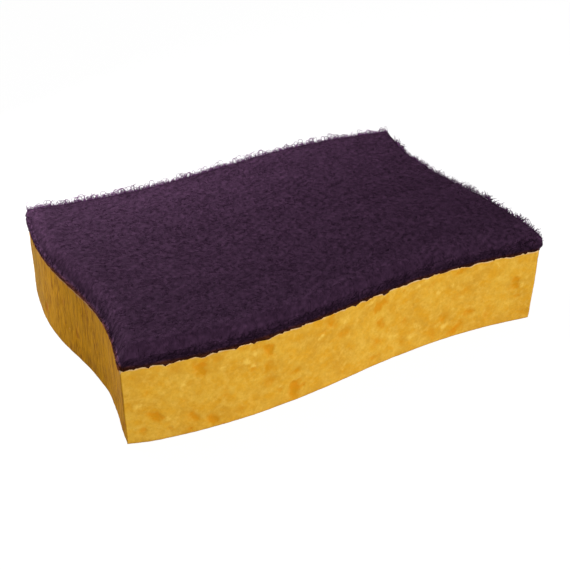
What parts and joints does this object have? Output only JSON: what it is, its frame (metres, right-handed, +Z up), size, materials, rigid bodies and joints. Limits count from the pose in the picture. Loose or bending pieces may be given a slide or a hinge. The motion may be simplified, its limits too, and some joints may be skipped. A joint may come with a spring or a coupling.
{
  "type": "cleaning sponge",
  "caption": "Cleaning sponge with a wavy outline: a porous cellulose block with a scouring pad of coarse fibres bonded to its top.",
  "frame": {"origin": "middle of the outline's box, on the surface that the sponge lies on", "axes": "+X along the length, +Y from the front side to the back one, +Z up through the scouring pad"},
  "size_m": [0.1422, 0.0974, 0.0323],
  "materials": {
    "cellulose": "matte, porous",
    "scouring_fibre": "matte, matted coarse fibres"
  },
  "bodies": {
    "root": {"sponge_block": "cellulose", "scouring_pad": "scouring_fibre"}
  },
  "joints": []
}
